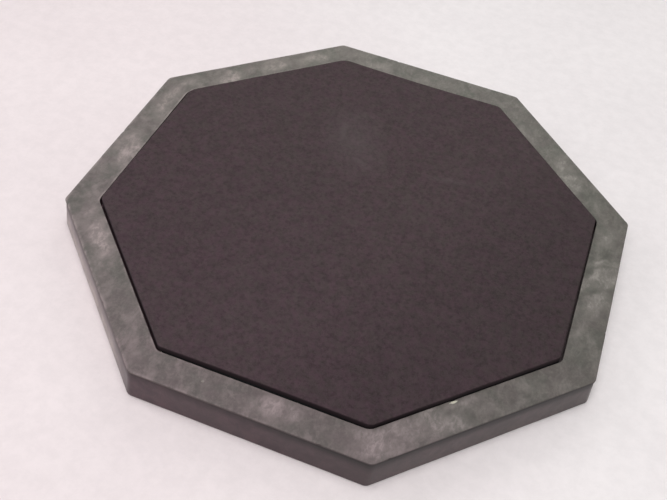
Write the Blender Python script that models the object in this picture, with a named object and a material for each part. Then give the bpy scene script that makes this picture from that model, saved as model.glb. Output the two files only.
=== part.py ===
"""Octagonal drum practice pad: a bonded stack of sheets on a dense board.

Metres, +Z up. The origin is the centre of the underside, where the pad lies on a table. Two flats of the
octagon face along X and two along Y.
"""

import math

import bmesh
import bpy

# Driving dimensions
ACROSS_FLATS = 0.3048
RIM_HEIGHT = 0.0198
RIM_WIDTH = 0.0173
CORNER_RADIUS = 0.0045
FIT_GAP = 0.0003

# The facing ring, a little wider than the board so that its edge makes a thin line above the side wall
FACING_THICKNESS = 0.0015
FACING_OVERHANG = 0.0003
FACING_EDGE_RADIUS = 0.0006

# The board, whose sides flare outwards a little from top to bottom
BOARD_LIFT = 0.0003
BOARD_EDGE_RADIUS = 0.0006
BOARD_FLARE = 0.0012

# The playing stack, let into the board and the facing
STACK_CLEARANCE = 0.0009
STACK_CORNER_RADIUS = 0.0060
SURFACE_PROUD = 0.0022
SURFACE_THICKNESS = 0.0036
SURFACE_EDGE_RADIUS = 0.0005
FILM_THICKNESS = 0.0004
FOAM_THICKNESS = 0.0030
HIDDEN_LAYER_INSET = 0.0010

# The underside sheet, let into the board
UNDERSIDE_MARGIN = 0.0120
UNDERSIDE_CLEARANCE = 0.0005
UNDERSIDE_THICKNESS = 0.0012
UNDERSIDE_EDGE_RADIUS = 0.0003

# Detail of the meshes
SIDES = 8
CORNER_STEPS = 5
EDGE_SEGMENTS = 3
EDGE_ANGLE = math.radians(40)
CUTTER_OVERRUN = 0.0050

# Levels worked out from the driving dimensions
SURFACE_TOP = RIM_HEIGHT + SURFACE_PROUD
SURFACE_BOTTOM = SURFACE_TOP - SURFACE_THICKNESS
SURFACE_FILM_TOP = SURFACE_BOTTOM - FIT_GAP
FOAM_TOP = SURFACE_FILM_TOP - FILM_THICKNESS - FIT_GAP
FOAM_BOTTOM = FOAM_TOP - FOAM_THICKNESS
FOAM_FILM_TOP = FOAM_BOTTOM - FIT_GAP
RECESS_FLOOR = FOAM_FILM_TOP - FILM_THICKNESS - FIT_GAP
FACING_BOTTOM = RIM_HEIGHT - FACING_THICKNESS
BOARD_TOP = FACING_BOTTOM - FIT_GAP
UNDERSIDE_FILM_BOTTOM = UNDERSIDE_THICKNESS + FIT_GAP
UNDERSIDE_RECESS_TOP = UNDERSIDE_FILM_BOTTOM + FILM_THICKNESS + FIT_GAP

# Widths worked out from the driving dimensions
OPENING_ACROSS = ACROSS_FLATS - 2 * RIM_WIDTH
OPENING_CORNER_RADIUS = STACK_CORNER_RADIUS + STACK_CLEARANCE
SURFACE_ACROSS = OPENING_ACROSS - 2 * STACK_CLEARANCE
HIDDEN_LAYER_ACROSS = SURFACE_ACROSS - 2 * HIDDEN_LAYER_INSET
HIDDEN_CORNER_RADIUS = STACK_CORNER_RADIUS - HIDDEN_LAYER_INSET
BOARD_ACROSS = ACROSS_FLATS - 2 * FACING_OVERHANG
BOARD_CORNER_RADIUS = CORNER_RADIUS - FACING_OVERHANG
UNDERSIDE_RECESS_ACROSS = ACROSS_FLATS - 2 * UNDERSIDE_MARGIN
UNDERSIDE_ACROSS = UNDERSIDE_RECESS_ACROSS - 2 * UNDERSIDE_CLEARANCE
UNDERSIDE_FILM_ACROSS = UNDERSIDE_ACROSS - 2 * HIDDEN_LAYER_INSET


def clear_scene():
    """Removes whatever objects the file already holds."""
    for old in list(bpy.data.objects):
        bpy.data.objects.remove(old, do_unlink=True)


def make_material(name, colour, roughness, metallic=0.0):
    """One Principled material with a plain colour."""
    material = bpy.data.materials.new(name)
    material.use_nodes = True
    shader = material.node_tree.nodes["Principled BSDF"]
    shader.inputs["Base Color"].default_value = (*colour, 1.0)
    shader.inputs["Roughness"].default_value = roughness
    shader.inputs["Metallic"].default_value = metallic
    return material


def octagon_outline(across_flats, corner_radius):
    """Anticlockwise points of a regular octagon with flats square to X and Y and rounded corners."""
    arc_centre_distance = (across_flats / 2 - corner_radius) / math.cos(math.pi / SIDES)
    points = []
    for corner in range(SIDES):
        corner_angle = (2 * corner + 1) * math.pi / SIDES
        centre_x = arc_centre_distance * math.cos(corner_angle)
        centre_y = arc_centre_distance * math.sin(corner_angle)
        for step in range(CORNER_STEPS + 1):
            angle = corner_angle + math.pi / SIDES * (2 * step / CORNER_STEPS - 1)
            x = centre_x + corner_radius * math.cos(angle)
            y = centre_y + corner_radius * math.sin(angle)
            points.append((x, y))
    return points


def octagon_slab(name, across_flats, corner_radius, bottom, top, flare=0.0):
    """A flat octagonal slab: its upper outline extruded down, and widened by the flare on every side."""
    bm = bmesh.new()
    outline = octagon_outline(across_flats, corner_radius)
    face = bm.faces.new([bm.verts.new((x, y, top)) for x, y in outline])
    extruded = bmesh.ops.extrude_face_region(bm, geom=[face])["geom"]
    lowered = [item for item in extruded if isinstance(item, bmesh.types.BMVert)]
    widening = 1 + 2 * flare / across_flats
    bmesh.ops.translate(bm, verts=lowered, vec=(0, 0, bottom - top))
    bmesh.ops.scale(bm, verts=lowered, vec=(widening, widening, 1))
    bmesh.ops.recalc_face_normals(bm, faces=bm.faces)
    mesh = bpy.data.meshes.new(name)
    bm.to_mesh(mesh)
    bm.free()
    slab = bpy.data.objects.new(name, mesh)
    bpy.context.scene.collection.objects.link(slab)
    return slab


def soften_edges(piece, radius):
    """Rounds the upper and lower edges of a slab and shades it smooth."""
    bevel = piece.modifiers.new("soft_edges", "BEVEL")
    bevel.width = radius
    bevel.segments = EDGE_SEGMENTS
    bevel.limit_method = "ANGLE"
    bevel.angle_limit = EDGE_ANGLE
    piece.data.shade_smooth()
    piece.data.set_sharp_from_angle(angle=EDGE_ANGLE)


def cut_octagon(piece, name, across_flats, corner_radius, bottom, top):
    """Cuts an octagonal opening or recess out of a piece."""
    cutter = octagon_slab(name, across_flats, corner_radius, bottom, top)
    cutter.hide_render = True
    cutter.display_type = "WIRE"
    cut = piece.modifiers.new(name, "BOOLEAN")
    cut.operation = "DIFFERENCE"
    cut.solver = "EXACT"
    cut.object = cutter


def make_base_board():
    """The board, with a recess above for the playing stack and a shallow one below for the sheet."""
    board = octagon_slab("base_board", BOARD_ACROSS, BOARD_CORNER_RADIUS, BOARD_LIFT, BOARD_TOP, BOARD_FLARE)
    soften_edges(board, BOARD_EDGE_RADIUS)
    cut_octagon(board, "stack_recess_cutter", OPENING_ACROSS, OPENING_CORNER_RADIUS,
                RECESS_FLOOR, BOARD_TOP + CUTTER_OVERRUN)
    cut_octagon(board, "underside_recess_cutter", UNDERSIDE_RECESS_ACROSS, OPENING_CORNER_RADIUS,
                BOARD_LIFT - CUTTER_OVERRUN, UNDERSIDE_RECESS_TOP)
    board.data.materials.append(make_material("painted_board_edge", (0.075, 0.055, 0.057), 0.62))
    return board


def make_rim_facing():
    """The grey facing ring round the playing surface."""
    facing = octagon_slab("rim_facing", ACROSS_FLATS, CORNER_RADIUS, FACING_BOTTOM, RIM_HEIGHT)
    soften_edges(facing, FACING_EDGE_RADIUS)
    cut_octagon(facing, "facing_opening_cutter", OPENING_ACROSS, OPENING_CORNER_RADIUS,
                FACING_BOTTOM - CUTTER_OVERRUN, RIM_HEIGHT + CUTTER_OVERRUN)
    facing.data.materials.append(make_material("grey_facing", (0.165, 0.160, 0.145), 0.60))
    return facing


def make_playing_surface():
    """The dark rubber sheet that is struck."""
    surface = octagon_slab("playing_surface", SURFACE_ACROSS, STACK_CORNER_RADIUS,
                           SURFACE_BOTTOM, SURFACE_TOP)
    soften_edges(surface, SURFACE_EDGE_RADIUS)
    surface.data.materials.append(make_material("dark_rubber", (0.062, 0.047, 0.050), 0.85))
    return surface


def make_damping_foam():
    """The closed-cell foam under the playing surface."""
    foam = octagon_slab("damping_foam", HIDDEN_LAYER_ACROSS, HIDDEN_CORNER_RADIUS, FOAM_BOTTOM, FOAM_TOP)
    foam.data.materials.append(make_material("black_foam", (0.030, 0.030, 0.032), 0.95))
    return foam


def make_adhesive_film(name, across_flats, top, film_material):
    """One sheet of double-sided adhesive film."""
    film = octagon_slab(name, across_flats, HIDDEN_CORNER_RADIUS, top - FILM_THICKNESS, top)
    film.data.materials.append(film_material)
    return film


def make_underside_sheet():
    """The thin non-slip rubber sheet that the pad lies on."""
    sheet = octagon_slab("underside_sheet", UNDERSIDE_ACROSS, STACK_CORNER_RADIUS, 0.0, UNDERSIDE_THICKNESS)
    soften_edges(sheet, UNDERSIDE_EDGE_RADIUS)
    sheet.data.materials.append(make_material("underside_rubber", (0.028, 0.027, 0.028), 0.90))
    return sheet


def build_pad():
    """Builds every piece, from the board outwards."""
    clear_scene()
    make_base_board()
    make_rim_facing()
    make_playing_surface()
    make_damping_foam()
    make_underside_sheet()
    film_material = make_material("adhesive_film", (0.720, 0.690, 0.580), 0.35)
    make_adhesive_film("surface_adhesive", HIDDEN_LAYER_ACROSS, SURFACE_FILM_TOP, film_material)
    make_adhesive_film("foam_adhesive", HIDDEN_LAYER_ACROSS, FOAM_FILM_TOP, film_material)
    make_adhesive_film("underside_adhesive", UNDERSIDE_FILM_ACROSS,
                       UNDERSIDE_FILM_BOTTOM + FILM_THICKNESS, film_material)


build_pad()
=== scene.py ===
"""The looks of an octagonal drum practice pad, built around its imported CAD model.

Everything is in metres in the CAD frame: +Z up, the origin under the middle of the pad, flats along X and Y.
Sides run clockwise from above, from the far one: 0 faces +Y, 2 faces +X, 4 faces -Y, 6 faces -X.
Corner k lies between sides k - 1 and k.
"""

import math

import bmesh
import bpy
from mathutils import Matrix, Vector, noise


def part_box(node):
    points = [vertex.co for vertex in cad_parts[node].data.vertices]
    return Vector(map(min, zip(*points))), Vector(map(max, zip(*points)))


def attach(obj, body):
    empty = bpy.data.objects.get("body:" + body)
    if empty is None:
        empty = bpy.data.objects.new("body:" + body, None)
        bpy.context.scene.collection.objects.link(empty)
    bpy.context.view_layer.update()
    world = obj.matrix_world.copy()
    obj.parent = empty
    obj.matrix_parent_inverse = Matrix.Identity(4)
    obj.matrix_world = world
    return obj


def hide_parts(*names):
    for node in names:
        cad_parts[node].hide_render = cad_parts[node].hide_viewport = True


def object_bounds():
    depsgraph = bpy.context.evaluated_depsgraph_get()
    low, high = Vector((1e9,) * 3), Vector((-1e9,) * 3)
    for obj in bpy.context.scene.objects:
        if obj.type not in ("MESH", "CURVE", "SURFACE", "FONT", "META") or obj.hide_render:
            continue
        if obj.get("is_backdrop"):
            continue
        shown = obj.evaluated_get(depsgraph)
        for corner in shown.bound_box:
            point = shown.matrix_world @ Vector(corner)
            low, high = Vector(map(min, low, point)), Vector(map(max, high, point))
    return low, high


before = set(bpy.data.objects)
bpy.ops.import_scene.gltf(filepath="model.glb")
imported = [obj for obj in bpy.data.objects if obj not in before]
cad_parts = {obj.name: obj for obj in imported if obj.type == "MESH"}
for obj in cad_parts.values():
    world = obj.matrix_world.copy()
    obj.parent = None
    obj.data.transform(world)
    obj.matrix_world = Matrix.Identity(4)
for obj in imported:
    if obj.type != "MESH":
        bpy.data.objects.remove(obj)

CAD_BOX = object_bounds()

# ---------------------------------------------------------------- sizes from the frame
FACING_LOW, FACING_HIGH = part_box("rim_facing")
BOARD_LOW, BOARD_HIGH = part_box("base_board")
SURFACE_LOW, SURFACE_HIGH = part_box("playing_surface")
FOAM_LOW, FOAM_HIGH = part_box("damping_foam")
SURFACE_FILM_LOW, SURFACE_FILM_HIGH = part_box("surface_adhesive")
FOAM_FILM_LOW, FOAM_FILM_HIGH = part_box("foam_adhesive")
SHEET_LOW, SHEET_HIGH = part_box("underside_sheet")
SHEET_FILM_LOW, SHEET_FILM_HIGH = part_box("underside_adhesive")

MM = 0.001
SIDES = 8
SIDE_DEGREES = 360.0 / SIDES
RIM_HEIGHT = FACING_HIGH.z
HALF_WIDTH = FACING_HIGH.x
FIT_GAP = FACING_LOW.z - BOARD_HIGH.z
STACK_CLEARANCE = 0.9 * MM
SHEET_CLEARANCE = 0.5 * MM
OPENING_HALF = SURFACE_HIGH.x + STACK_CLEARANCE
RIM_WIDTH = HALF_WIDTH - OPENING_HALF
CIRCUMRADIUS = HALF_WIDTH / math.cos(math.pi / SIDES)
RECESS_FLOOR = FOAM_FILM_LOW.z - FIT_GAP
SHEET_RECESS_TOP = SHEET_FILM_HIGH.z + FIT_GAP
SHEET_RECESS_HALF = SHEET_HIGH.x + SHEET_CLEARANCE


def millimetres(*values):
    """A list of sizes given in millimetres."""
    return [value * MM for value in values]


# Hand-cut outlines, side by side: how far each side lies inside its true octagon, how many degrees it is out
# of true, how far its middle bows in, and the radius of the corner that it starts from
OUTER_TRIMS = millimetres(-0.4, -0.1, -0.4, 0.6, 0.0, 0.0, 0.2, 0.25)
OUTER_TURNS = [0.0, 0.35, 0.0, -0.3, 0.0, 0.0, 0.0, -0.2]
OUTER_RADII = millimetres(4.5, 4.0, 3.5, 4.5, 5.0, 4.5, 4.0, 5.0)
OPENING_TRIMS = millimetres(0.0, 0.0, 0.55, 0.3, -0.3, -0.15, 0.35, 0.0)
OPENING_TURNS = [0.0, 0.0, 0.25, -0.25, -0.1, 0.4, 0.0, 0.0]
SURFACE_TRIMS = millimetres(0.2, 0.6, 1.05, 0.38, 0.05, 0.15, 0.98, 0.75)
SURFACE_TURNS = [0.0, 0.2, 0.4, -0.4, 0.0, 0.5, 0.2, -0.2]
SURFACE_BOWS = millimetres(0.9, 0.0, 0.0, 0.0, 0.5, 0.0, 0.0, 0.0)
SURFACE_RADII = millimetres(11.0, 5.5, 4.5, 4.0, 6.0, 3.5, 5.0, 10.0)
SHEET_RADIUS = 6.0 * MM
NONE = [0.0] * SIDES
# How far each side of the board flares out from the rim to the underside
BOARD_FLARES = millimetres(1.2, 1.2, 1.2, 0.4, 0.95, 1.2, 1.2, 1.2)

# ---------------------------------------------------------------- the view
VIEW_AZIMUTH = math.radians(14.42)
VIEW_ELEVATION = math.radians(47.04)
VIEW_ROLL = math.radians(-8.25)
VIEW_DISTANCE = 3.2046 * CIRCUMRADIUS
VIEW_RIGHT = -0.0750 * CIRCUMRADIUS
VIEW_UP = -0.1380 * CIRCUMRADIUS
LENS_MM = 49.05
SENSOR_MM = 36.0


# ================================================================ outlines
def direction(degrees):
    """A level direction, counted anticlockwise from +X."""
    angle = math.radians(degrees)
    return Vector((math.cos(angle), math.sin(angle)))


def side_facing(side):
    """The direction in degrees in which a true side faces. It keeps falling as the sides run clockwise."""
    return 90.0 - SIDE_DEGREES * side


def side_turn(side):
    """How far a side's own length is turned from +X, in radians."""
    return math.radians(-SIDE_DEGREES * side)


def corner_direction(corner):
    """From the middle to a corner."""
    return direction(side_facing(corner - 0.5))


def rim_point(side, along, across):
    """A point on the rim: along a side from 0 to 1, and across the rim from its outer edge, 0, to 1."""
    reach = CIRCUMRADIUS * (1 - across * RIM_WIDTH / HALF_WIDTH)
    flat = corner_direction(side).lerp(corner_direction(side + 1), along) * reach
    return Vector((flat.x, flat.y, RIM_HEIGHT))


class Outline:
    """An octagon with rounded corners, whose sides may lie inwards, be out of true or bow in."""

    def __init__(self, half_width, radii, steps, trims=NONE, turns=NONE, bows=NONE):
        self.distances = [half_width - trim for trim in trims]
        self.radii, self.turns, self.bows = radii, turns, bows
        self.side_steps, self.corner_steps = steps

    def side_degrees(self, side):
        """The direction in which a side faces, turned out of true."""
        return side_facing(side) - self.turns[side % SIDES]

    def corner_arc(self, corner, inset, spread):
        """Centre and radius of a corner's arc, which touches the two sides that meet there."""
        radius = max(self.radii[corner % SIDES] - inset, 0.05 * MM)
        n0, n1 = direction(self.side_degrees(corner - 1)), direction(self.side_degrees(corner))
        d0 = self.distances[(corner - 1) % SIDES] + spread[(corner - 1) % SIDES] - inset - radius
        d1 = self.distances[corner % SIDES] + spread[corner % SIDES] - inset - radius
        return Vector((d0 * n1.y - d1 * n0.y, n0.x * d1 - n1.x * d0)) / n0.cross(n1), radius

    def loop(self, inset, height, spread=NONE):
        """Points at one height, moved in by the inset and each side out by its spread.

        Outlines that are made with the same steps match up point by point.
        """
        flat = []
        for side in range(SIDES):
            centre, radius = self.corner_arc(side, inset, spread)
            first, last = self.side_degrees(side - 1), self.side_degrees(side)
            for step in range(self.corner_steps):
                flat.append(centre + radius * direction(first + (last - first) * step / self.corner_steps))
            normal = direction(last)
            next_centre, next_radius = self.corner_arc(side + 1, inset, spread)
            start, end = centre + radius * normal, next_centre + next_radius * normal
            for step in range(self.side_steps):
                share = step / self.side_steps
                bow = self.bows[side] * 4 * share * (1 - share)
                flat.append(start.lerp(end, share) - bow * normal)
        return [Vector((p.x, p.y, height)) for p in flat]


def edge_arc(radius, start_degrees, end_degrees, steps):
    """Points of a rounded edge as (inset, rise): 0 degrees is its outermost point, 90 its highest."""
    points = []
    for step in range(steps + 1):
        bent = direction(start_degrees + (end_degrees - start_degrees) * step / steps)
        points.append((radius * (1 - bent.x), radius * bent.y))
    return points


def add_skin(bm, loops, closed_ring=False, cap_first=True, cap_last=True):
    """Faces through matching loops of points, and the rows of their vertices."""
    rows = [[bm.verts.new(point) for point in loop] for loop in loops]
    count = len(rows[0])
    pairs = list(zip(rows, rows[1:]))
    if closed_ring:
        pairs.append((rows[-1], rows[0]))
    for lower, upper in pairs:
        for i in range(count):
            j = (i + 1) % count
            bm.faces.new((lower[i], lower[j], upper[j], upper[i]))
    if cap_first and not closed_ring:
        bm.faces.new(rows[0])
    if cap_last and not closed_ring:
        bm.faces.new(rows[-1])
    return rows


def finish_mesh(name, bm, sharp_degrees=50):
    """Turns the finished faces outwards and makes the object."""
    bmesh.ops.recalc_face_normals(bm, faces=bm.faces)
    mesh = bpy.data.meshes.new(name)
    bm.to_mesh(mesh)
    bm.free()
    mesh.shade_smooth()
    mesh.set_sharp_from_angle(angle=math.radians(sharp_degrees))
    piece = bpy.data.objects.new(name, mesh)
    bpy.context.scene.collection.objects.link(piece)
    return piece


def ripple(point, size, seed):
    """Smooth noise from -1 to 1 with features of about the given size."""
    return noise.noise(Vector((point.x / size + seed, point.y / size - seed, point.z / size)))


# ================================================================ pieces
# Dents in the rim's outer upper edge: side, place along it, length, depth
EDGE_DENTS = [
    (0, 0.33, 1.5 * MM, 0.25 * MM),
    (2, 0.71, 1.6 * MM, 0.30 * MM),
    (3, 0.93, 1.6 * MM, 0.30 * MM),
    (4, 0.21, 2.0 * MM, 0.35 * MM),
    (5, 0.36, 1.6 * MM, 0.30 * MM),
    (6, 0.52, 1.8 * MM, 0.30 * MM),
]
# A chip out of the facing's inner edge: side, place along it, length, depth
CHIP = (3, 0.595, 2.2 * MM, 0.30 * MM)
# A pale fleck on the rim: side, place along it, place across the rim
FLECK = (4, 0.735, 0.56)
# The facing's vertex attribute that is 1 on its rounded edges and 0 elsewhere
ROUNDED_EDGE = "rounded_edge"


def dent_push(point, centre, length, depth):
    """How far a dent pushes a point in: depth in its middle, nothing at its ends."""
    gap = (point - centre).length
    if gap > length:
        return 0.0
    return depth * (0.5 + 0.5 * math.cos(math.pi * gap / length))


def worn_facing_point(point):
    """The facing's slight waviness, the dents in its outer edge and the chip in its inner one."""
    waves_up, waves_out = 0.04 * MM, 0.05 * MM
    moved = point.copy()
    outward = Vector((point.x, point.y)).normalized()
    moved.z += waves_up * ripple(point, 18 * MM, seed=3.1)
    moved.xy += outward * waves_out * ripple(point, 9 * MM, seed=7.7)
    for side, along, length, depth in EDGE_DENTS:
        push = dent_push(point, rim_point(side, along, 0.0), length, depth)
        moved.xy -= outward * push
        moved.z -= 0.7 * push
    side, along, length, depth = CHIP
    push = dent_push(point, rim_point(side, along, 1.0), length, depth)
    moved.xy += outward * push
    moved.z -= 0.6 * push
    return moved


def opening_outline(steps):
    """The opening for the playing stack, through the facing and into the board."""
    radii = [radius + STACK_CLEARANCE for radius in SURFACE_RADII]
    return Outline(OPENING_HALF, radii, steps, OPENING_TRIMS, OPENING_TURNS)


def plain_outline(half_width, radius, steps):
    """A true octagon."""
    return Outline(half_width, [radius] * SIDES, steps)


def facing_loops():
    """Loops of points round the facing's profile, and the numbers of those on its rounded edges."""
    outer_radius, inner_radius = 0.55 * MM, 0.25 * MM
    outer_steps, inner_steps, bands = 6, 4, 14
    bottom, shelf = FACING_LOW.z, 6 * MM
    steps = (150, 10)
    outer = Outline(HALF_WIDTH, OUTER_RADII, steps, OUTER_TRIMS, OUTER_TURNS)
    opening = opening_outline(steps)
    loops = [outer.loop(0.3 * MM, bottom), outer.loop(0.05 * MM, bottom + 0.15 * MM)]
    outer_edge = range(len(loops), len(loops) + outer_steps + 1)
    for inset, rise in edge_arc(outer_radius, 0, 90, outer_steps):
        loops.append(outer.loop(inset, RIM_HEIGHT - outer_radius + rise))
    top_outer, top_inner = loops[-1], opening.loop(-inner_radius, RIM_HEIGHT)
    for band in range(1, bands):
        loops.append([a.lerp(b, band / bands) for a, b in zip(top_outer, top_inner)])
    inner_edge = range(len(loops), len(loops) + inner_steps)
    for inset, rise in reversed(edge_arc(inner_radius, 0, 90, inner_steps)):
        loops.append(opening.loop(-inset, RIM_HEIGHT - inner_radius + rise))
    loops += [opening.loop(0.0, bottom), opening.loop(-shelf, bottom)]
    return loops, [*outer_edge, *inner_edge]


def make_rim_facing():
    """The grey facing ring, with a softened outer edge and a crisp inner one."""
    loops, rounded_rows = facing_loops()
    bm = bmesh.new()
    edge_layer = bm.verts.layers.float.new(ROUNDED_EDGE)
    rows = add_skin(bm, [[worn_facing_point(p) for p in loop] for loop in loops], closed_ring=True)
    for row in rounded_rows:
        for vertex in rows[row]:
            vertex[edge_layer] = 1.0
    return finish_mesh("rim_facing_worn", bm)


def worn_wall_point(point):
    """The side wall isn't quite true: it has slight waves and shallow tool marks."""
    wave_size, mark_size, furthest_out = 0.07 * MM, 0.04 * MM, 0.05 * MM
    outward = Vector((point.x, point.y)).normalized()
    waves = wave_size * ripple(point, 24 * MM, seed=11.3)
    marks = mark_size * ripple(point, 4 * MM, seed=2.9)
    moved = point.copy()
    moved.xy += outward * min(waves + marks, furthest_out)
    return moved


def make_base_board():
    """The board: painted side wall that flares out, softened edges, and its two recesses."""
    steps, wall_rows = (110, 8), 18
    top, bottom = BOARD_HIGH.z, BOARD_LOW.z
    upper_radius, lower_radius, lip = 0.5 * MM, 0.6 * MM, 0.2 * MM
    overhang, set_back, island = 0.3 * MM, 0.5 * MM, 20 * MM
    wall = Outline(HALF_WIDTH - overhang, OUTER_RADII, steps, OUTER_TRIMS, OUTER_TURNS)
    recess = opening_outline(steps)
    under = plain_outline(SHEET_RECESS_HALF, SHEET_RADIUS, steps)
    loops = [recess.loop(island, RECESS_FLOOR), recess.loop(-set_back, RECESS_FLOOR),
             recess.loop(-set_back, top - lip), recess.loop(-set_back - lip, top)]
    for inset, rise in reversed(edge_arc(upper_radius, 0, 90, 4)):
        loops.append(wall.loop(inset, top - upper_radius + rise))
    wall_top, wall_bottom = top - upper_radius, bottom + lower_radius
    for row in range(1, wall_rows + 1):
        share = row / wall_rows
        spread = [(flare + overhang) * share for flare in BOARD_FLARES]
        loops.append(wall.loop(0.0, wall_top + (wall_bottom - wall_top) * share, spread))
    for inset, rise in edge_arc(lower_radius, 0, -90, 6)[1:]:
        loops.append(wall.loop(inset, wall_bottom + rise, spread))
    loops = [[worn_wall_point(p) for p in loop] for loop in loops]
    loops += [under.loop(-lip, bottom), under.loop(0.0, bottom + lip), under.loop(0.0, SHEET_RECESS_TOP),
              under.loop(island, SHEET_RECESS_TOP)]
    bm = bmesh.new()
    add_skin(bm, loops)
    return finish_mesh("base_board_painted", bm)


def uneven_surface_point(point):
    """A cut rubber edge wanders a little, and its top is never dead flat."""
    wander, unevenness, top_depth = 0.10 * MM, 0.05 * MM, 0.4 * MM
    moved = point.copy()
    outward = Vector((point.x, point.y))
    edge_share = min(1.0, outward.length / SURFACE_HIGH.x) ** 8
    if outward.length > MM:
        moved.xy += outward.normalized() * wander * edge_share * ripple(point, 14 * MM, seed=5.5)
    if point.z > SURFACE_HIGH.z - top_depth:
        moved.z += unevenness * (ripple(point, 35 * MM, seed=1.7) - 1.0) * (1 - 0.3 * edge_share)
    return moved


def surface_outline(steps):
    """The hand-cut outline of the playing surface, and of the film under it."""
    return Outline(SURFACE_HIGH.x, SURFACE_RADII, steps, SURFACE_TRIMS, SURFACE_TURNS, SURFACE_BOWS)


def make_playing_surface():
    """The dark sheet: hand-cut outline, softly rounded upper edge, faintly uneven top."""
    edge_radius, bands, middle, crowding = 0.6 * MM, 34, 4 * MM, 1.25
    bevel_in, bevel_up = 0.4 * MM, 0.3 * MM
    top, bottom = SURFACE_HIGH.z, SURFACE_LOW.z
    sheet = surface_outline((96, 12))
    loops = [sheet.loop(bevel_in, bottom), sheet.loop(0.0, bottom + bevel_up)]
    for inset, rise in edge_arc(edge_radius, 0, 90, 6):
        loops.append(sheet.loop(inset, top - edge_radius + rise))
    # The bands lie closer together towards the edge
    reach = SURFACE_HIGH.x - middle
    for band in range(1, bands + 1):
        inset = edge_radius + (reach - edge_radius) * (band / bands) ** crowding
        loops.append(sheet.loop(inset, top))
    bm = bmesh.new()
    add_skin(bm, [[uneven_surface_point(p) for p in loop] for loop in loops])
    return finish_mesh("playing_surface_sheet", bm)


def make_damping_foam():
    """The foam layer in the recess: its cut sides bulge slightly between the two films."""
    rows, bulge_depth, roughness, corner_radius = 8, 0.35 * MM, 0.10 * MM, 5 * MM
    low, high = FOAM_LOW.z, FOAM_HIGH.z
    block = plain_outline(FOAM_HIGH.x, corner_radius, (60, 6))
    loops = []
    for row in range(rows + 1):
        share = row / rows
        inset = bulge_depth * (1 - math.sin(math.pi * share))
        loop = block.loop(inset, low + (high - low) * share)
        for point in loop:
            point.x += roughness * ripple(point, 3 * MM, seed=8.1)
            point.y += roughness * ripple(point, 3 * MM, seed=4.4)
        loops.append(loop)
    bm = bmesh.new()
    add_skin(bm, loops)
    return finish_mesh("damping_foam_layer", bm)


def make_film(name, outline, inset, bottom, top):
    """Adhesive film, knife-cut by hand, so that its edge wanders a little."""
    wander = 0.25 * MM
    loops = []
    for share_in, height in ((0.5, bottom), (0.0, 0.5 * (bottom + top)), (0.5, top)):
        loop = outline.loop(inset + share_in * (top - bottom), height)
        for point in loop:
            outward = Vector((point.x, point.y)).normalized()
            point.xy += outward * wander * ripple(point, 11 * MM, seed=6.2)
        loops.append(loop)
    bm = bmesh.new()
    add_skin(bm, loops)
    return finish_mesh(name, bm)


# ---------------------------------------------------------------- the underside sheet
PIP_PITCH, PIP_RADIUS, PIP_HEIGHT = 6.0 * MM, 1.8 * MM, 0.35 * MM


def make_underside_sheet():
    """The thin non-slip sheet: a plain border round a field of low moulded pips."""
    border, edge, step_width = 6 * MM, 0.25 * MM, 0.5 * MM
    base = SHEET_LOW.z + PIP_HEIGHT
    sheet = plain_outline(SHEET_HIGH.x, SHEET_RADIUS, (40, 6))
    loops = [sheet.loop(border + step_width, base), sheet.loop(border, SHEET_LOW.z),
             sheet.loop(edge, SHEET_LOW.z), sheet.loop(0.0, SHEET_LOW.z + edge),
             sheet.loop(0.0, SHEET_HIGH.z - edge), sheet.loop(edge, SHEET_HIGH.z)]
    bm = bmesh.new()
    add_skin(bm, loops, cap_first=False)
    add_pips(bm, base, SHEET_HIGH.x - border - step_width - 0.8 * PIP_PITCH)
    open_edges = [e for e in bm.edges if e.is_boundary]
    bmesh.ops.triangle_fill(bm, edges=open_edges, normal=(0.0, 0.0, -1.0), use_beauty=True)
    return finish_mesh("underside_sheet_moulded", bm)


def add_pips(bm, base, reach):
    """A honeycomb of cells that share their edges, with a low dome in each."""
    corners = {}

    def shared_vertex(x, y):
        key = (round(x / (0.01 * MM)), round(y / (0.01 * MM)))
        if key not in corners:
            corners[key] = bm.verts.new((x, y, base))
        return corners[key]

    row_pitch = PIP_PITCH * math.sqrt(3) / 2
    rows, columns = int(reach / row_pitch), int(reach / PIP_PITCH) + 1
    for row in range(-rows, rows + 1):
        for column in range(-columns, columns + 1):
            x, y = (column + 0.5 * (row % 2)) * PIP_PITCH, row * row_pitch
            if max(abs(x), abs(y), (abs(x) + abs(y)) / math.sqrt(2)) < reach:
                add_pip_cell(bm, Vector((x, y)), base, shared_vertex)


def add_pip_cell(bm, centre, base, shared_vertex):
    """One six-sided cell: a flat surround, then a dome that points down and is flat in the middle."""
    around = 12
    rows = [[]]
    for i in range(around):
        reach = PIP_PITCH / 2 if i % 2 == 0 else PIP_PITCH / math.sqrt(3)
        place = centre + reach * direction(30 * i)
        rows[0].append(shared_vertex(place.x, place.y))
    for share_out, share_down in ((1.0, 0.0), (0.88, 0.55), (0.60, 1.0)):
        ring = [centre + share_out * PIP_RADIUS * direction(30 * i) for i in range(around)]
        rows.append([bm.verts.new((p.x, p.y, base - share_down * PIP_HEIGHT)) for p in ring])
    for outer, inner in zip(rows, rows[1:]):
        for i in range(around):
            j = (i + 1) % around
            bm.faces.new((outer[i], inner[i], inner[j], outer[j]))
    bm.faces.new(rows[-1])


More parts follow.
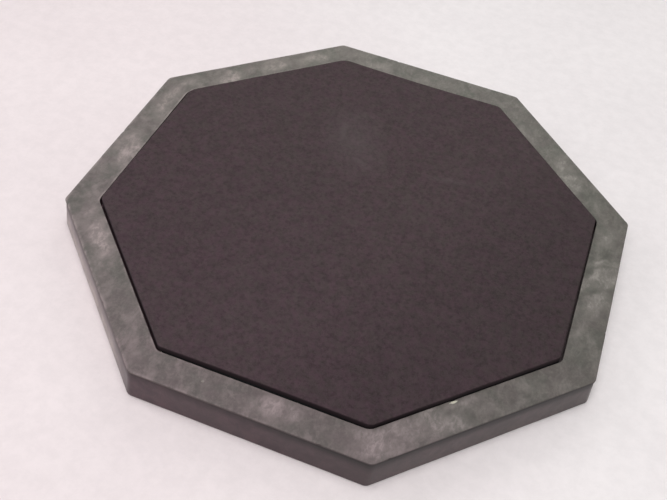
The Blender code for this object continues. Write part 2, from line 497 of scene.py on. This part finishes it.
# ================================================================ materials
class Paint:
    """Adds nodes to one material, to keep the recipes below short."""

    def __init__(self, name, roughness=0.5, specular=0.5):
        self.material = bpy.data.materials.new(name)
        self.material.use_nodes = True
        self.tree = self.material.node_tree
        self.shader = self.tree.nodes["Principled BSDF"]
        self.shader.inputs["Roughness"].default_value = roughness
        self.shader.inputs["Specular IOR Level"].default_value = specular
        self.place = self.tree.nodes.new("ShaderNodeTexCoord").outputs["Object"]

    def node(self, kind, **values):
        """Adds a node and sets its properties."""
        made = self.tree.nodes.new(kind)
        for name, value in values.items():
            setattr(made, name, value)
        return made

    def plug(self, socket, value):
        """Links a node's output, or sets a number or colour."""
        if isinstance(value, bpy.types.NodeSocket):
            self.tree.links.new(value, socket)
        elif isinstance(value, tuple) and len(value) == 3 and socket.type == "RGBA":
            socket.default_value = (*value, 1.0)
        else:
            socket.default_value = value

    def height(self):
        """How high a point of the piece lies."""
        made = self.node("ShaderNodeSeparateXYZ")
        self.plug(made.inputs["Vector"], self.place)
        return made.outputs["Z"]

    def stretched(self, scale, angle=0.0):
        """The piece's own coordinates, turned and stretched."""
        made = self.node("ShaderNodeMapping")
        self.plug(made.inputs["Vector"], self.place)
        made.inputs["Rotation"].default_value = (0.0, 0.0, angle)
        made.inputs["Scale"].default_value = scale
        return made.outputs["Vector"]

    def noise(self, size, detail=3.0, roughness=0.5, distortion=0.0, place=None):
        """Cloudy noise with features of about the given size in metres."""
        made = self.node("ShaderNodeTexNoise")
        self.plug(made.inputs["Vector"], place or self.place)
        made.inputs["Scale"].default_value = 1.0 / size
        made.inputs["Detail"].default_value = detail
        made.inputs["Roughness"].default_value = roughness
        made.inputs["Distortion"].default_value = distortion
        return made.outputs["Fac"]

    def between(self, value, low, high, to_low=0.0, to_high=1.0):
        """Moves a value from one range to another, smoothly and clamped."""
        made = self.node("ShaderNodeMapRange", interpolation_type="SMOOTHSTEP")
        self.plug(made.inputs["Value"], value)
        for name, number in (("From Min", low), ("From Max", high), ("To Min", to_low), ("To Max", to_high)):
            made.inputs[name].default_value = number
        return made.outputs["Result"]

    def math(self, operation, a, b):
        """One sum on two values."""
        made = self.node("ShaderNodeMath", operation=operation)
        self.plug(made.inputs[0], a)
        self.plug(made.inputs[1], b)
        return made.outputs["Value"]

    def product(self, *values):
        """All the values multiplied together."""
        total = values[0]
        for value in values[1:]:
            total = self.math("MULTIPLY", total, value)
        return total

    def strongest(self, masks):
        """The strongest of several masks at each point."""
        total = masks[0]
        for mask in masks[1:]:
            total = self.math("MAXIMUM", total, mask)
        return total

    def blend(self, kind, factor, a, b):
        """A mix node for colours: they go in at sockets 6 and 7, and the result comes out at socket 2."""
        made = self.node("ShaderNodeMix", data_type="RGBA", blend_type=kind)
        self.plug(made.inputs[0], factor)
        self.plug(made.inputs[6], a)
        self.plug(made.inputs[7], b)
        return made.outputs[2]

    def mix(self, factor, a, b):
        """Mixes two colours."""
        return self.blend("MIX", factor, a, b)

    def tinted(self, factor, colour, tint):
        """Multiplies a colour by a tint, as far as the factor says."""
        return self.blend("MULTIPLY", factor, colour, tint)

    def attribute(self, name):
        """A number stored on the piece's vertices."""
        return self.node("ShaderNodeAttribute", attribute_name=name).outputs["Fac"]

    def facing(self, degrees):
        """1 where the piece faces squarely in one level direction, 0 where it clearly faces another."""
        normal = self.node("ShaderNodeTexCoord").outputs["Normal"]
        made = self.node("ShaderNodeVectorMath", operation="DOT_PRODUCT")
        self.plug(made.inputs[0], normal)
        made.inputs[1].default_value = (*direction(degrees), 0.0)
        return self.between(made.outputs["Value"], 0.80, 0.97)

    def drift(self, degrees):
        """Rises smoothly from 0 to 1 across the whole pad in one direction."""
        made = self.node("ShaderNodeVectorMath", operation="DOT_PRODUCT")
        self.plug(made.inputs[0], self.place)
        made.inputs[1].default_value = (*direction(degrees), 0.0)
        return self.between(made.outputs["Value"], -HALF_WIDTH, HALF_WIDTH)

    def patch(self, centre, angle, half_length, half_width, place, half_height=20 * MM):
        """A soft oval that is 1 in its middle and 0 at its edge."""
        mapping = self.node("ShaderNodeMapping", vector_type="TEXTURE")
        self.plug(mapping.inputs["Vector"], place)
        mapping.inputs["Location"].default_value = centre
        mapping.inputs["Rotation"].default_value = (0.0, 0.0, angle)
        mapping.inputs["Scale"].default_value = (half_length, half_width, half_height)
        gradient = self.node("ShaderNodeTexGradient", gradient_type="SPHERICAL")
        self.plug(gradient.inputs["Vector"], mapping.outputs["Vector"])
        return gradient.outputs["Fac"]

    def wandering(self, size, amount, detail=3.0):
        """The piece's coordinates pushed about by noise, so that patches get ragged outlines."""
        made = self.node("ShaderNodeTexNoise")
        self.plug(made.inputs["Vector"], self.place)
        made.inputs["Scale"].default_value = 1.0 / size
        made.inputs["Detail"].default_value = detail
        centred = self.node("ShaderNodeVectorMath", operation="SUBTRACT")
        self.plug(centred.inputs[0], made.outputs["Color"])
        centred.inputs[1].default_value = (0.5, 0.5, 0.5)
        scaled = self.node("ShaderNodeVectorMath", operation="SCALE")
        self.plug(scaled.inputs[0], centred.outputs["Vector"])
        scaled.inputs["Scale"].default_value = amount
        added = self.node("ShaderNodeVectorMath", operation="ADD")
        self.plug(added.inputs[0], self.place)
        self.plug(added.inputs[1], scaled.outputs["Vector"])
        return added.outputs["Vector"]

    def bump(self, height, distance, strength=1.0, over=None):
        """Roughens the surface by a height, over another bump if there is one."""
        made = self.node("ShaderNodeBump")
        made.inputs["Strength"].default_value = strength
        made.inputs["Distance"].default_value = distance
        self.plug(made.inputs["Height"], height)
        if over is not None:
            self.plug(made.inputs["Normal"], over)
        return made.outputs["Normal"]

    def finish(self, colour=None, roughness=None, normal=None):
        """Plugs in what the recipe made and gives back the material."""
        for name, value in (("Base Color", colour), ("Roughness", roughness), ("Normal", normal)):
            if value is not None:
                self.plug(self.shader.inputs[name], value)
        return self.material


# Chalky marks on the rim: side, place along it, place across it, half length and half width in mm, tilt in
# degrees, strength
RIM_MARKS = [
    (0, 0.06, 0.40, 18, 9, 30, 0.42), (0, 0.20, 0.70, 20, 8, 20, 0.58), (0, 0.38, 0.80, 14, 6, 0, 0.20),
    (0, 0.66, 0.60, 26, 8, -10, 0.24), (0, 0.90, 0.50, 12, 8, 0, 0.20),
    (1, 0.28, 0.85, 22, 7, 0, 0.60), (1, 0.58, 0.55, 22, 9, -20, 0.98), (1, 0.71, 0.80, 22, 9, -30, 1.20),
    (1, 0.08, 0.60, 16, 8, 0, 0.25), (1, 0.90, 0.60, 16, 8, -20, 0.48),
    (2, 0.31, 0.35, 18, 5, -60, 0.95), (2, 0.42, 0.50, 24, 9, -48, 1.30), (2, 0.58, 0.50, 18, 9, -30, 0.85),
    (2, 0.64, 0.35, 16, 6, -30, 0.50), (2, 0.81, 0.85, 16, 6, -15, 0.42), (2, 0.12, 0.60, 18, 10, 0, 0.62),
    (3, 0.50, 0.60, 18, 7, -30, 0.45), (3, 0.56, 0.88, 24, 5, 0, 0.60), (3, 0.69, 0.38, 24, 10, -20, 1.05),
    (3, 0.77, 0.75, 18, 8, 10, 1.00), (3, 0.93, 0.50, 24, 13, 20, 0.92), (3, 0.23, 0.60, 18, 8, -20, 0.30),
    (4, 0.02, 0.50, 16, 13, 25, 0.85), (4, 0.40, 0.64, 22, 12, 15, 0.90), (4, 0.46, 0.45, 20, 8, 30, 0.60),
    (4, 0.70, 0.30, 12, 6, 20, 0.25), (4, 0.18, 0.40, 14, 8, -20, 0.30), (4, 0.94, 0.75, 14, 7, 0, 0.20),
    (5, 0.05, 0.40, 14, 9, 0, 0.35), (5, 0.56, 0.22, 18, 7, -10, 0.45), (5, 0.73, 0.64, 26, 12, 5, 0.95),
    (5, 0.64, 0.50, 20, 8, -25, 0.60), (5, 0.88, 0.40, 18, 9, -25, 0.60), (5, 0.32, 0.85, 26, 5, 0, 0.25),
    (6, 0.41, 0.68, 28, 11, 12, 0.88), (6, 0.42, 0.25, 18, 7, 20, 0.50), (6, 0.86, 0.66, 32, 9, 6, 0.78),
    (6, 0.78, 0.20, 16, 6, 10, 0.20), (6, 0.08, 0.60, 20, 9, 10, 0.20), (6, 0.20, 0.40, 14, 6, 20, 0.30),
    (7, 0.26, 0.70, 18, 9, 15, 0.98), (7, 0.05, 0.50, 18, 10, 0, 0.50), (7, 0.57, 0.50, 20, 10, -10, 0.70),
    (7, 0.41, 0.45, 16, 8, 0, 0.40), (7, 0.82, 0.55, 28, 10, 0, 0.62),
]


def chalk_marks(paint):
    """All the chalky marks in one mask, with ragged outlines."""
    ragged = paint.wandering(11 * MM, 13 * MM)
    masks = []
    for side, along, across, length, width, tilt, strength in RIM_MARKS:
        angle = side_turn(side) + math.radians(tilt)
        oval = paint.patch(rim_point(side, along, across), angle, length * MM, width * MM, ragged)
        masks.append(paint.product(oval, strength))
    return paint.strongest(masks)


def pale_spots(paint):
    """Bare material in the chip, and faintly in one fleck on the rim."""
    half_width, fleck_length, fleck_turn = 0.9 * MM, 1.3 * MM, 0.4
    ragged = paint.wandering(1.2 * MM, 1.6 * MM)
    side, along, length = CHIP[:3]
    chip = paint.patch(rim_point(side, along, 0.95), side_turn(side), 1.6 * length, half_width, ragged)
    fleck = paint.patch(rim_point(*FLECK), fleck_turn, fleck_length, half_width, ragged)
    bare, faint = paint.between(chip, 0.15, 0.60, 0.0, 0.80), paint.between(fleck, 0.2, 0.6, 0.0, 0.14)
    return paint.strongest([bare, faint])


def facing_material():
    """Matt grey facing: chalky marks, pale bands on its rounded edges, a chip, and cut edges with painted
    light and shade.

    It darkens towards the right of the pad and turns slightly pinker towards the front.
    """
    paint = Paint("grey_facing_chalky", specular=0.25)
    green_grey, brown_grey = (0.139, 0.141, 0.120), (0.163, 0.147, 0.135)
    light_grey, dark_grey = (0.214, 0.201, 0.178), (0.110, 0.106, 0.093)
    chalk_left, chalk_right = (0.350, 0.313, 0.285), (0.352, 0.330, 0.304)
    pale_edge_grey, bare = (0.330, 0.297, 0.272), (0.62, 0.60, 0.49)
    cut_edge_lit, cut_edge_shaded = (0.120, 0.096, 0.092), (0.034, 0.027, 0.028)
    to_right, to_front = paint.drift(0), paint.drift(-90)

    cloud = paint.noise(15 * MM, detail=3.0, roughness=0.55, distortion=0.3)
    mottle = paint.noise(6 * MM, detail=4.0, roughness=0.60, distortion=0.2)
    streaks = paint.stretched((1.0, 0.55, 1.0), math.radians(38))
    broken = paint.noise(7 * MM, detail=5.0, roughness=0.68, distortion=0.3, place=streaks)
    threads = paint.stretched((1.0, 0.6, 1.0), math.radians(20))
    wisps = paint.noise(2.6 * MM, detail=4.0, roughness=0.65, distortion=0.5, place=threads)
    speck = paint.noise(1.2 * MM, detail=2.0, roughness=0.6)

    colour = paint.mix(paint.between(cloud, 0.40, 0.60), green_grey, brown_grey)
    colour = paint.mix(paint.between(mottle, 0.34, 0.68, 0.0, 0.80), colour, light_grey)
    colour = paint.tinted(paint.between(wisps, 0.35, 0.65), colour, (0.80, 0.80, 0.80))
    colour = paint.mix(paint.between(speck, 0.30, 0.75, 0.0, 0.50), colour, dark_grey)

    patchy = paint.product(paint.between(broken, 0.36, 0.62, 0.30, 1.05),
                           paint.between(wisps, 0.38, 0.60, 0.45, 1.05))
    marks = paint.product(paint.between(chalk_marks(paint), 0.05, 0.75), patchy)
    veil = paint.product(paint.between(broken, 0.46, 0.72, 0.0, 0.45),
                         paint.between(wisps, 0.34, 0.62, 0.5, 1.0))
    chalk = paint.strongest([marks, veil])
    colour = paint.mix(chalk, colour, paint.mix(to_right, chalk_left, chalk_right))

    # A pale band along the rounded edges, strongest on the left of the pad and faint on the right.
    pale_edge = paint.product(paint.attribute(ROUNDED_EDGE), paint.between(broken, 0.40, 0.60, 0.05, 0.60),
                           paint.between(to_right, 0.10, 0.80, 1.0, 0.12))
    colour = paint.mix(pale_edge, colour, pale_edge_grey)

    colour = paint.tinted(paint.drift(-33), colour, (0.705, 0.71, 0.695))
    colour = paint.tinted(paint.drift(-112.5), colour, (1.0, 0.92, 1.0))
    colour = paint.tinted(paint.between(to_front, 0.95, 1.0), colour, (1.09, 1.03, 1.07))

    colour = paint.mix(pale_spots(paint), colour, bare)
    # Painted light and shade on the cut edges: pale on the left of the pad, near black on the right.
    top_not_side = paint.between(paint.height(), RIM_HEIGHT - 0.55 * MM, RIM_HEIGHT - 0.30 * MM)
    colour = paint.mix(top_not_side, paint.mix(to_right, cut_edge_lit, cut_edge_shaded), colour)
    normal = paint.bump(speck, 0.05 * MM, strength=0.5)
    normal = paint.bump(mottle, 0.12 * MM, strength=0.4, over=normal)
    return paint.finish(colour, paint.between(chalk, 0.0, 0.8, 0.55, 0.80), normal)


# Dusty stretches of the side wall, partly painted light (most of all side 5): side, place along it, half
# length in mm, strength
WALL_DUST_AND_LIGHT = [
    (0, 0.55, 110, 0.26), (1, 0.45, 110, 0.22), (2, 0.50, 110, 0.20), (3, 0.25, 110, 0.06),
    (5, 0.75, 100, 0.72), (6, 0.45, 120, 0.40), (7, 0.50, 120, 0.28),
]


def wall_dust_and_light(paint):
    """All the dusty stretches in one mask, each on its own side only and thickest low down; they also paint
    light on the wall.
    """
    half_width, half_height = 20 * MM, 34 * MM
    ragged = paint.wandering(14 * MM, 10 * MM)
    masks = []
    for side, along, length, strength in WALL_DUST_AND_LIGHT:
        centre = rim_point(side, along, 0.0)
        centre.z = 0.25 * RIM_HEIGHT
        oval = paint.patch(centre, side_turn(side), length * MM, half_width, ragged, half_height)
        on_side = paint.facing(side_facing(side))
        masks.append(paint.product(paint.between(oval, 0.0, 0.45), on_side, strength))
    low_down = paint.between(paint.height(), 0.0, BOARD_HIGH.z, 1.25, 0.0)
    return paint.product(paint.strongest(masks), low_down)


def board_material():
    """Dark painted board edge, satin and scuffed, dusty on most sides with painted light in the dust, duller
    under the rim and darkened there by painted shade.
    """
    paint = Paint("painted_board_edge_scuffed", specular=0.50)
    dark_paint, light_paint = (0.051, 0.023, 0.033), (0.092, 0.045, 0.058)
    plum_paint, pores = (0.070, 0.042, 0.050), (0.038, 0.029, 0.030)
    # The dusty colour is partly painted light, for the pale left side; the shaded colour is painted shade.
    dusty, shaded = (0.510, 0.439, 0.413), (0.008, 0.007, 0.007)
    to_right = paint.drift(0)

    scuff = paint.noise(8 * MM, detail=5.0, roughness=0.65, distortion=0.4)
    cloud = paint.noise(28 * MM, detail=3.0, roughness=0.5)
    grain = paint.noise(0.9 * MM, detail=3.0, roughness=0.6, place=paint.stretched((1.0, 1.0, 0.35)))
    colour = paint.mix(paint.between(scuff, 0.34, 0.66), dark_paint, light_paint)
    colour = paint.mix(paint.between(cloud, 0.36, 0.64, 0.0, 0.5), colour, plum_paint)
    colour = paint.mix(paint.between(grain, 0.35, 0.75, 0.0, 0.3), colour, pores)

    under_rim = paint.between(paint.height(), BOARD_HIGH.z - 6.5 * MM, BOARD_HIGH.z - 0.5 * MM)
    patchy = paint.between(scuff, 0.32, 0.68, 0.55, 1.0)
    # The pale dust is partly painted light; it thins just under the rim, which paints a darker band there as
    # shade.
    dust = paint.product(wall_dust_and_light(paint), patchy, paint.between(under_rim, 0.0, 1.0, 1.0, 0.20))
    colour = paint.mix(dust, colour, dusty)
    # Painted shade: a dark band just under the rim, stronger towards the right of the pad.
    shade = paint.product(under_rim, paint.between(to_right, 0.0, 0.9, 0.15, 0.85))
    colour = paint.mix(shade, colour, shaded)
    colour = paint.tinted(to_right, colour, (0.70, 0.80, 0.68))

    normal = paint.bump(grain, 0.03 * MM, strength=0.4)
    normal = paint.bump(scuff, 0.10 * MM, strength=0.3, over=normal)
    duller = paint.between(under_rim, 0.0, 1.0, 0.0, 0.13)
    roughness = paint.math("ADD", paint.between(cloud, 0.3, 0.7, 0.30, 0.36), duller)
    return paint.finish(colour, roughness, normal)


# Faint smears on the playing surface: x and y in mm, turn in degrees, half length and half width in mm,
# strength
SURFACE_SMEARS = [
    (-30, 61, -76, 22, 6, 1.0), (-21, 65, 8, 12, 5, 0.8), (-10, 39, -18, 14, 5, 0.9),
    (-20, 56, -60, 40, 24, 0.7), (-27, 78, 30, 22, 12, 0.5), (45, 48, 10, 20, 4, 0.6),
]
SMEAR_STRENGTH = 0.42


def surface_smears(paint):
    """All the smears in one mask, with ragged outlines."""
    ragged = paint.wandering(12 * MM, 9 * MM)
    masks = []
    for x, y, turn, length, width, strength in SURFACE_SMEARS:
        centre = (x * MM, y * MM, SURFACE_HIGH.z)
        oval = paint.patch(centre, math.radians(turn), length * MM, width * MM, ragged)
        masks.append(paint.product(oval, SMEAR_STRENGTH * strength))
    return paint.strongest(masks)


def surface_material():
    """Matt dark rubber with a fine pitted grain and the faint smears of use.

    Its cut sides are plain in colour, with painted shade making them darker in front.
    """
    paint = Paint("dark_rubber_matt", specular=0.22)
    dark_rubber, light_rubber = (0.0630, 0.0392, 0.0460), (0.0690, 0.0432, 0.0506)
    greyer_rubber, sparkle, smeared = (0.0600, 0.0442, 0.0445), (0.090, 0.069, 0.074), (0.105, 0.088, 0.088)
    cut_rubber, cut_rubber_shaded_front = (0.058, 0.044, 0.047), (0.036, 0.025, 0.028)

    grain = paint.noise(0.6 * MM, detail=3.0, roughness=0.65)
    pitted = paint.noise(2.1 * MM, detail=3.0, roughness=0.6)
    mottle = paint.noise(6 * MM, detail=4.0, roughness=0.75)
    cloud = paint.noise(45 * MM, detail=4.0, roughness=0.55)
    hue = paint.noise(5 * MM, detail=3.0, roughness=0.7, place=paint.stretched((1.0, 1.0, 1.0), 1.0))
    colour = paint.mix(paint.between(cloud, 0.32, 0.68), dark_rubber, light_rubber)
    colour = paint.mix(paint.between(hue, 0.34, 0.66), colour, greyer_rubber)
    colour = paint.tinted(paint.between(mottle, 0.32, 0.68), colour, (0.80, 0.79, 0.80))
    colour = paint.tinted(paint.between(pitted, 0.42, 0.72), colour, (0.68, 0.67, 0.67))
    colour = paint.mix(paint.between(grain, 0.45, 0.80, 0.0, 0.35), colour, sparkle)
    colour = paint.mix(surface_smears(paint), colour, smeared)

    # Painted shade: the cut sides turn darker towards the front, where the near edge lies in shadow.
    top_not_side = paint.between(paint.height(), SURFACE_HIGH.z - 0.70 * MM, SURFACE_HIGH.z - 0.25 * MM)
    front = paint.between(paint.drift(-90), 0.93, 0.98)
    colour = paint.mix(top_not_side, paint.mix(front, cut_rubber, cut_rubber_shaded_front), colour)
    colour = paint.tinted(paint.between(paint.drift(-22.5), 0.6, 1.0), colour, (0.78, 0.77, 0.78))
    colour = paint.tinted(paint.between(paint.drift(-112.5), 0.4, 1.0), colour, (1.0, 0.95, 1.0))

    normal = paint.bump(grain, 0.06 * MM, strength=0.6)
    normal = paint.bump(pitted, 0.10 * MM, strength=0.4, over=normal)
    return paint.finish(colour, paint.between(cloud, 0.3, 0.7, 0.74, 0.82), normal)


def foam_material():
    """Closed-cell foam: fine round cells."""
    paint = Paint("closed_cell_foam", specular=0.2)
    cell_size = 0.7 * MM
    cell_middle, cell_wall = (0.040, 0.040, 0.043), (0.018, 0.018, 0.020)
    cells = paint.node("ShaderNodeTexVoronoi", feature="SMOOTH_F1")
    paint.plug(cells.inputs["Vector"], paint.place)
    cells.inputs["Scale"].default_value = 1.0 / cell_size
    distance = cells.outputs["Distance"]
    colour = paint.mix(distance, cell_middle, cell_wall)
    return paint.finish(colour, 0.92, paint.bump(distance, 0.2 * MM, strength=0.7))


def film_material():
    """Double-sided adhesive film: yellowish, with trapped bubbles."""
    paint = Paint("adhesive_film_tacky", specular=0.5)
    pale_yellow, dull_yellow = (0.70, 0.66, 0.52), (0.58, 0.52, 0.38)
    bubbles = paint.noise(6 * MM, detail=4.0, roughness=0.6)
    colour = paint.mix(paint.between(bubbles, 0.4, 0.65), pale_yellow, dull_yellow)
    normal = paint.bump(bubbles, 0.1 * MM, strength=0.4)
    return paint.finish(colour, paint.between(bubbles, 0.3, 0.7, 0.25, 0.5), normal)


def sheet_material():
    """Thin black rubber with a dusty bloom."""
    paint = Paint("underside_rubber_dusty", specular=0.25)
    black_rubber, dusty_rubber = (0.026, 0.025, 0.026), (0.060, 0.056, 0.054)
    dust = paint.noise(30 * MM, detail=5.0, roughness=0.6)
    grain = paint.noise(0.5 * MM, detail=2.0, roughness=0.6)
    colour = paint.mix(paint.between(dust, 0.42, 0.75), black_rubber, dusty_rubber)
    normal = paint.bump(grain, 0.05 * MM, strength=0.5)
    return paint.finish(colour, paint.between(dust, 0.3, 0.7, 0.70, 0.88), normal)


def floor_material():
    """Pale paper, faintly pink, with soft fibres."""
    paint = Paint("pale_paper", roughness=0.9, specular=0.1)
    paper, light_paper = (0.840, 0.800, 0.806), (0.870, 0.832, 0.836)
    cloud = paint.noise(120 * MM, detail=3.0, roughness=0.5)
    fibre = paint.noise(9 * MM, detail=5.0, roughness=0.75)
    colour = paint.mix(paint.between(cloud, 0.3, 0.7), paper, light_paper)
    colour = paint.tinted(paint.between(fibre, 0.30, 0.70), colour, (0.94, 0.94, 0.94))
    colour = paint.tinted(paint.drift(-150), colour, (0.97, 0.92, 0.93))
    return paint.finish(colour, None, paint.bump(fibre, 0.4 * MM, strength=0.3))


# ================================================================ stage
def make_floor():
    """A large plain sheet of paper under the pad."""
    bm = bmesh.new()
    bmesh.ops.create_grid(bm, x_segments=8, y_segments=8, size=2.0)
    mesh = bpy.data.meshes.new("paper_floor")
    bm.to_mesh(mesh)
    bm.free()
    floor = bpy.data.objects.new("paper_floor", mesh)
    bpy.context.scene.collection.objects.link(floor)
    mesh.materials.append(floor_material())
    floor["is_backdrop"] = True


def make_camera():
    """The camera at the photograph's angle, with its slight tilt."""
    back = Vector((math.sin(VIEW_AZIMUTH) * math.cos(VIEW_ELEVATION),
                   -math.cos(VIEW_AZIMUTH) * math.cos(VIEW_ELEVATION),
                   math.sin(VIEW_ELEVATION)))
    right = Vector((0, 0, 1)).cross(back).normalized()
    up = back.cross(right)
    c, s = math.cos(VIEW_ROLL), math.sin(VIEW_ROLL)
    right, up = right * c - up * s, right * s + up * c
    data = bpy.data.cameras.new("camera")
    data.lens = LENS_MM
    data.sensor_width = SENSOR_MM
    data.clip_start, data.clip_end = 0.01, 20.0
    camera = bpy.data.objects.new("camera", data)
    bpy.context.scene.collection.objects.link(camera)
    place = back * VIEW_DISTANCE + right * VIEW_RIGHT + up * VIEW_UP + Vector((0, 0, RIM_HEIGHT))
    turn = Matrix((right, up, back)).transposed().to_4x4()
    camera.matrix_world = Matrix.Translation(place) @ turn
    bpy.context.scene.camera = camera


# Softboxes that face the pad: direction and height above it in degrees, size in metres, watts, colour
LAMPS = {
    "softbox_overhead": (0, 90, 0.5, 7.5, (1.0, 1.0, 0.99)),
    "softbox_front": (270, 60, 0.9, 10.6, (1.0, 0.98, 0.985)),
    "softbox_left": (180, 35, 0.9, 4.2, (1.0, 0.99, 0.985)),
    "softbox_far": (90, 35, 0.9, 3.8, (1.0, 1.0, 0.99)),
}
LAMP_DISTANCE = 1.6


def make_lamp(name, azimuth, elevation, size, watts, colour):
    """A square softbox that faces the pad."""
    data = bpy.data.lights.new(name, "AREA")
    data.shape = "SQUARE"
    data.size = size
    data.energy = watts
    data.color = colour
    lamp = bpy.data.objects.new(name, data)
    lamp.visible_camera = False
    bpy.context.scene.collection.objects.link(lamp)
    flat = direction(azimuth) * math.cos(math.radians(elevation))
    towards = Vector((flat.x, flat.y, math.sin(math.radians(elevation))))
    lamp.location = towards * LAMP_DISTANCE
    lamp.rotation_mode = "QUATERNION"
    lamp.rotation_quaternion = towards.to_track_quat("Z", "Y")


def make_light():
    """Soft light from above and in front, less from the left and the far side, a little from all round."""
    world = bpy.data.worlds.new("room")
    bpy.context.scene.world = world
    world.use_nodes = True
    background = world.node_tree.nodes["Background"]
    background.inputs["Color"].default_value = (1.0, 0.99, 0.985, 1.0)
    background.inputs["Strength"].default_value = 0.3
    for name, values in LAMPS.items():
        make_lamp(name, *values)


# ================================================================ assembly
def dress(piece, material, slot, *nodes):
    """Gives a new piece its material and body, and hides the CAD nodes that it stands for; its slot is not
    used.
    """
    piece.data.materials.append(material)
    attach(piece, "root")
    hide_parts(*nodes)


def dress_films():
    """The three adhesive films between the layers."""
    steps, margin, wide_margin = (60, 6), 0.3 * MM, 1.5 * MM
    foam_outline = plain_outline(FOAM_FILM_HIGH.x, SHEET_RADIUS, steps)
    sheet_outline = plain_outline(SHEET_FILM_HIGH.x, SHEET_RADIUS, steps)
    layers = [
        ("surface_adhesive", surface_outline(steps), wide_margin, SURFACE_FILM_LOW.z, SURFACE_FILM_HIGH.z),
        ("foam_adhesive", foam_outline, margin, FOAM_FILM_LOW.z, FOAM_FILM_HIGH.z),
        ("underside_adhesive", sheet_outline, margin, SHEET_FILM_LOW.z, SHEET_FILM_HIGH.z),
    ]
    film = film_material()
    for node, outline, inset, bottom, top in layers:
        dress(make_film(node + "_film", outline, inset, bottom, top), film, "adhesive", node)


def write_sizes():
    """The CAD model's box and the finished model's box."""
    boxes = {"cad": CAD_BOX, "visual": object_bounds()}
    sizes = {name: [list(corner) for corner in box] for name, box in boxes.items()}


bpy.context.scene.view_settings.view_transform = "Standard"
make_camera()
make_light()
make_floor()
dress(make_base_board(), board_material(), "board", "base_board")
dress(make_rim_facing(), facing_material(), "facing", "rim_facing")
playing_surface = make_playing_surface()
dress(playing_surface, surface_material(), "surface_rubber", "playing_surface")
damping_foam = make_damping_foam()
dress(damping_foam, foam_material(), "foam", "damping_foam")
dress(make_underside_sheet(), sheet_material(), "underside_rubber", "underside_sheet")
dress_films()
write_sizes()
